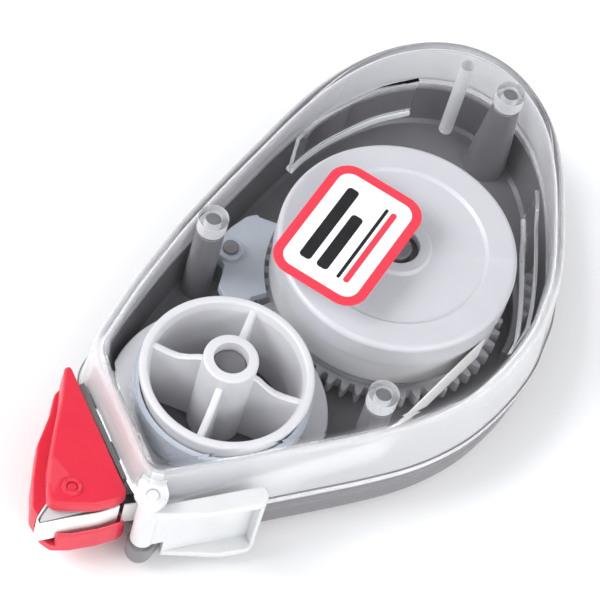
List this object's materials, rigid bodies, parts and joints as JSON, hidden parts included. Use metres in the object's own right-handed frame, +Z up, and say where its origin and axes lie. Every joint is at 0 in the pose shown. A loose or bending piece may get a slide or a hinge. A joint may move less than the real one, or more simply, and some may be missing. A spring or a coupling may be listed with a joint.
{
  "type": "correction tape roller",
  "caption": "Correction tape roller: clear cover over a dark tray, geared supply and take-up spools, a red nose with a flexing tip, and a hinged tip cap.",
  "frame": {"origin": "the supply spool's axis on the case's flat bottom face", "axes": "+X towards the round end and away from the nose, +Z up through the clear cover, -Y to the side where the tip cap is parked"},
  "size_m": [0.0894, 0.0478, 0.0189],
  "materials": {
    "smoke_plastic": "gloss, smoke grey",
    "clear_plastic": "clear, polished",
    "label": "satin printed film",
    "reel_plastic": "satin, natural white",
    "white_plastic": "satin",
    "frosted_plastic": "frosted, translucent",
    "red_plastic": "satin red",
    "dark_plastic": "satin",
    "tape": "matt coated film",
    "film": "satin release film",
    "spring_steel": "satin"
  },
  "bodies": {
    "case": {"base_shell": "smoke_plastic", "cover_shell": "clear_plastic", "cover_label": "label", "nose_lower_cheek": "red_plastic", "nose_upper_cheek": "red_plastic", "nose_neck": "dark_plastic", "tip_pivot_pin": "red_plastic", "tape_feed_run": "tape", "film_return_run": "film", "cap_hinge_pin": "dark_plastic"},
    "supply_drive": {"supply_gear": "reel_plastic", "clutch_spring": "spring_steel"},
    "supply_reel": {"supply_core": "white_plastic", "correction_tape_roll": "tape", "supply_flange": "reel_plastic"},
    "takeup": {"takeup_spool": "white_plastic", "used_film_wrap": "film"},
    "guide_roller": {"front_guide_roller": "white_plastic"},
    "pawl": {"backstop_pawl": "frosted_plastic"},
    "tip": {"applicator_tip": "frosted_plastic", "tape_tip_loop": "tape"},
    "cap": {"tip_cap": "frosted_plastic"}
  },
  "joints": [
    {"name": "supply_spin", "type": "hinge", "parent": "case", "child": "supply_drive", "pos_m": [0, 0, 0.007], "axis": [0, 0, 1], "continuous": true},
    {"name": "clutch_slip", "type": "hinge", "parent": "supply_drive", "child": "supply_reel", "pos_m": [0, 0, 0.01], "axis": [0, 0, 1], "continuous": true},
    {"name": "takeup_spin", "type": "hinge", "parent": "case", "child": "takeup", "pos_m": [-0.0285, 0, 0.009], "axis": [0, 0, 1], "continuous": true},
    {"name": "roller_spin", "type": "hinge", "parent": "case", "child": "guide_roller", "pos_m": [-0.0454, -0.0054, 0.0087], "axis": [0, 0, 1], "continuous": true},
    {"name": "pawl_flex", "type": "hinge", "parent": "case", "child": "pawl", "pos_m": [-0.0129, 0.0153, 0.006], "axis": [0, 0, 1], "range_deg": [-6, 0], "stiffness_Nm_per_rad": 0.01},
    {"name": "tip_flex", "type": "hinge", "parent": "case", "child": "tip", "pos_m": [-0.0533, -0.0002, 0.0086], "axis": [0, 0, 1], "range_deg": [-2.5, 2.5], "stiffness_Nm_per_rad": 0.05},
    {"name": "cap_swing", "type": "hinge", "parent": "case", "child": "cap", "pos_m": [-0.048, -0.008, 0.0087], "axis": [0, 0, 1], "range_deg": [-175, 0]}
  ],
  "couplings": [
    {"joint": "takeup_spin", "follows": "supply_spin", "ratio": -1.1591}
  ]
}
